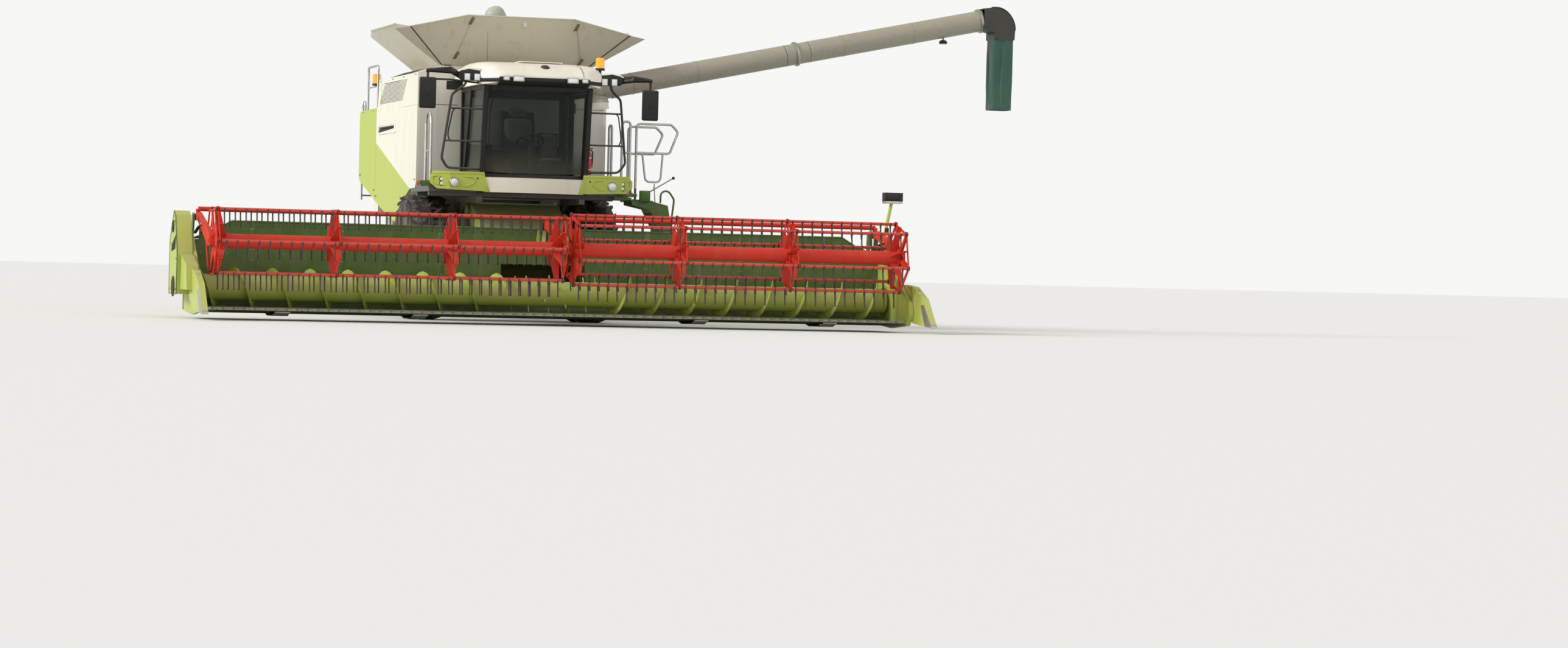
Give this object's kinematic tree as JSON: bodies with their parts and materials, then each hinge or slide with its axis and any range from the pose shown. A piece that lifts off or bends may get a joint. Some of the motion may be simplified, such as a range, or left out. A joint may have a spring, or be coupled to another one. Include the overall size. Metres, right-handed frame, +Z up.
{
  "type": "combine harvester",
  "caption": "Combine harvester with raised tank covers, unloading auger swung out and a wide grain header with a two-part tined reel.",
  "frame": {"origin": "on the ground at the middle of the rectangle that the whole machine covers with its unloading auger swung out", "axes": "+X to the machine's left, where the auger points; +Y to the rear; +Z up"},
  "size_m": [14.0252, 10.43, 5.2974],
  "materials": {
    "panel_paint": "satin cream paint",
    "lime_paint": "satin lime paint",
    "grey_paint": "satin grey paint",
    "header_paint": "satin dark green paint",
    "frame_paint": "satin dark grey paint",
    "red_paint": "satin red paint",
    "rim_paint": "satin pale rim paint",
    "steel": "worn bright steel",
    "cast": "painted casting",
    "black_plastic": "matte",
    "roof_plastic": "satin moulding",
    "lamp_plastic": "lamp housings",
    "rail_metal": "galvanised",
    "glass": "tinted",
    "tyre": "matte rubber",
    "canvas": "coated canvas",
    "seat_fabric": "woven",
    "chrome_rod": "polished"
  },
  "bodies": {
    "machine": {"threshing_body": "grey_paint", "front_axle": "frame_paint", "rear_axle": "frame_paint", "engine_block": "cast", "grain_tank": "grey_paint", "tank_extension": "panel_paint", "side_panel_left": "panel_paint", "side_panel_right": "panel_paint", "rear_hood": "panel_paint", "straw_chopper": "grey_paint", "cab_frame": "black_plastic", "cab_roof": "roof_plastic", "cab_glass": "glass", "cab_interior": "seat_fabric", "front_panel": "panel_paint", "corner_panels": "lime_paint", "platform": "frame_paint", "handrails": "rail_metal", "mirrors": "black_plastic", "lamps": "lamp_plastic"},
    "door": {"cab_door": "glass"},
    "ladder": {"ladder": "frame_paint"},
    "unloader": {"unloading_auger": "panel_paint", "chute": "canvas"},
    "header": {"feeder_house": "frame_paint", "header_frame": "header_paint", "header_ends": "lime_paint", "knife_bar": "steel"},
    "intake": {"header_auger": "lime_paint"},
    "arms": {"reel_arms": "red_paint"},
    "reel_half_left": {"reel_left": "red_paint", "reel_tines_left": "black_plastic"},
    "reel_half_right": {"reel_right": "red_paint", "reel_tines_right": "black_plastic"},
    "lift_barrel": {"lift_barrels": "frame_paint"},
    "lift_rod": {"lift_rods": "chrome_rod"},
    "wheel_front_left": {"tyre_front_left": "tyre", "rim_front_left": "rim_paint"},
    "wheel_front_right": {"tyre_front_right": "tyre", "rim_front_right": "rim_paint"},
    "wheel_rear_left": {"tyre_rear_left": "tyre", "rim_rear_left": "rim_paint"},
    "wheel_rear_right": {"tyre_rear_right": "tyre", "rim_rear_right": "rim_paint"},
    "steer_left": {"knuckle_left": "cast"},
    "steer_right": {"knuckle_right": "cast"}
  },
  "joints": [
    {"name": "feeder_lift", "type": "hinge", "parent": "machine", "child": "header", "pos_m": [-1.4074, -0.545, 1.75], "axis": [-1, 0, 0], "range_deg": [0, 17]},
    {"name": "lift_barrel_pivot", "type": "hinge", "parent": "machine", "child": "lift_barrel", "pos_m": [-1.4074, -0.545, 0.64], "axis": [-1, 0, 0], "range_deg": [0, 16.59]},
    {"name": "lift_rod_slide", "type": "slide", "parent": "lift_barrel", "child": "lift_rod", "axis": [0, -0.9979, -0.0649], "range_m": [0, 0.3312]},
    {"name": "intake_spin", "type": "hinge", "parent": "header", "child": "intake", "pos_m": [-1.4074, -3.215, 0.46], "axis": [1, 0, 0], "continuous": true},
    {"name": "reel_lift", "type": "hinge", "parent": "header", "child": "arms", "pos_m": [-1.4074, -2.875, 1.475], "axis": [-1, 0, 0], "range_deg": [-3, 20]},
    {"name": "reel_spin_left", "type": "hinge", "parent": "arms", "child": "reel_half_left", "pos_m": [-1.4074, -4.215, 1.13], "axis": [1, 0, 0], "continuous": true},
    {"name": "reel_spin_right", "type": "hinge", "parent": "arms", "child": "reel_half_right", "pos_m": [-1.4074, -4.215, 1.13], "axis": [1, 0, 0], "continuous": true},
    {"name": "unloader_swing", "type": "hinge", "parent": "machine", "child": "unloader", "pos_m": [-0.0074, -0.215, 3.5], "axis": [-0.1, 0.1029, 0.9897], "range_deg": [0, 90]},
    {"name": "door_hinge", "type": "hinge", "parent": "machine", "child": "door", "pos_m": [-0.5434, -1.075, 2.34], "axis": [0, 0, 1], "range_deg": [0, 75]},
    {"name": "ladder_swing", "type": "hinge", "parent": "machine", "child": "ladder", "pos_m": [0.2266, -1.16, 2.01], "axis": [0, 0, 1], "range_deg": [0, 80]},
    {"name": "steer_left_pivot", "type": "hinge", "parent": "machine", "child": "steer_left", "pos_m": [-0.3974, 3.535, 0.7], "axis": [0, 0, 1], "range_deg": [-32, 32]},
    {"name": "steer_right_pivot", "type": "hinge", "parent": "machine", "child": "steer_right", "pos_m": [-2.4174, 3.535, 0.7], "axis": [0, 0, 1], "range_deg": [-32, 32]},
    {"name": "wheel_front_left_spin", "type": "hinge", "parent": "machine", "child": "wheel_front_left", "pos_m": [-0.0774, -0.215, 0.98], "axis": [1, 0, 0], "continuous": true},
    {"name": "wheel_front_right_spin", "type": "hinge", "parent": "machine", "child": "wheel_front_right", "pos_m": [-2.7374, -0.215, 0.98], "axis": [1, 0, 0], "continuous": true},
    {"name": "wheel_rear_left_spin", "type": "hinge", "parent": "steer_left", "child": "wheel_rear_left", "pos_m": [-0.0574, 3.535, 0.7], "axis": [1, 0, 0], "continuous": true},
    {"name": "wheel_rear_right_spin", "type": "hinge", "parent": "steer_right", "child": "wheel_rear_right", "pos_m": [-2.7574, 3.535, 0.7], "axis": [1, 0, 0], "continuous": true}
  ],
  "couplings": [
    {"joint": "lift_barrel_pivot", "follows": "feeder_lift", "ratio": 0.9409},
    {"joint": "lift_rod_slide", "follows": "feeder_lift", "m_per_rad": 1.1029},
    {"joint": "steer_right_pivot", "follows": "steer_left_pivot", "ratio": 1}
  ]
}
